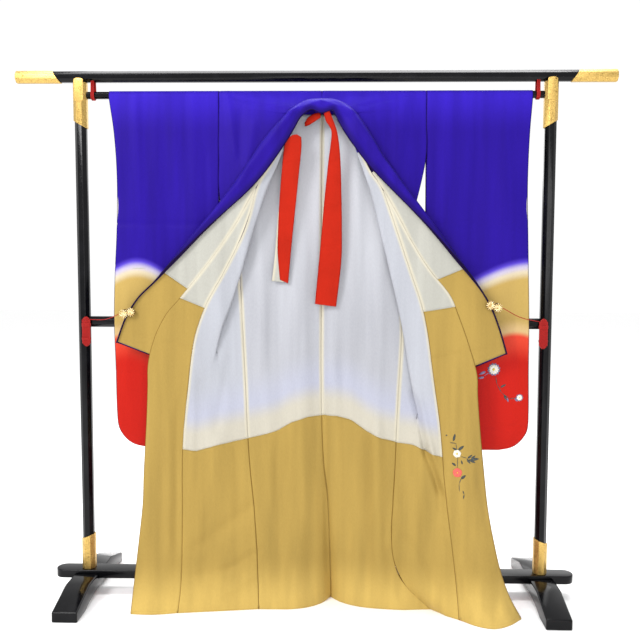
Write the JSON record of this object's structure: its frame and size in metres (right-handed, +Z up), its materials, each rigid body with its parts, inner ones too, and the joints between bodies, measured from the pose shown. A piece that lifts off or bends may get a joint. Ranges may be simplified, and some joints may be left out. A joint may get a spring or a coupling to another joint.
{
  "type": "furisode kimono on a lacquered kimono stand",
  "caption": "Long-sleeved formal kimono hung open on a lacquered stand, its fronts turned back to show the lining and its hem resting on the floor.",
  "frame": {"origin": "on the floor, midway between the two posts", "axes": "+Z up, +X to the right as seen from the open front, which faces -Y"},
  "size_m": [1.88, 0.5, 1.6837],
  "materials": {
    "silk_blue": "satin",
    "silk_gold": "satin",
    "silk_white": "satin",
    "silk_red": "satin",
    "lacquer": "gloss",
    "gilt": "satin",
    "cord_red": "matt"
  },
  "bodies": {
    "root": {"bar_end_left": "gilt", "bar_end_right": "gilt", "base_beam": "lacquer", "body_left": "silk_blue", "body_right": "silk_blue", "clip_cord_left": "cord_red", "clip_cord_right": "cord_red", "clip_left": "gilt", "clip_right": "gilt", "collar": "silk_blue", "collar_hakkake_left": "silk_gold", "collar_hakkake_right": "silk_gold", "collar_lining_left": "silk_white", "collar_lining_right": "silk_white", "cord_hank_left": "cord_red", "cord_hank_right": "cord_red", "foot_left": "lacquer", "foot_right": "lacquer", "hakkake_back_left": "silk_gold", "hakkake_back_right": "silk_gold", "hakkake_front_left": "silk_gold", "hakkake_front_right": "silk_gold", "hanging_rod": "lacquer", "lining_back_left": "silk_white", "lining_back_right": "silk_white", "lining_front_left": "silk_white", "lining_front_right": "silk_white", "mid_rail": "lacquer", "okumi_hakkake_left": "silk_gold", "okumi_hakkake_right": "silk_gold", "okumi_left": "silk_blue", "okumi_lining_left": "silk_white", "okumi_lining_right": "silk_white", "okumi_right": "silk_blue", "post_cap_left": "gilt", "post_cap_right": "gilt", "post_left": "lacquer", "post_right": "lacquer", "post_shoe_left": "gilt", "post_shoe_right": "gilt", "rod_loop_left": "cord_red", "rod_loop_right": "cord_red", "sleeve_left": "silk_blue", "sleeve_right": "silk_blue", "tie_left": "silk_red", "tie_left_backing": "silk_white", "tie_right": "silk_red", "top_bar": "lacquer"}
  },
  "joints": []
}
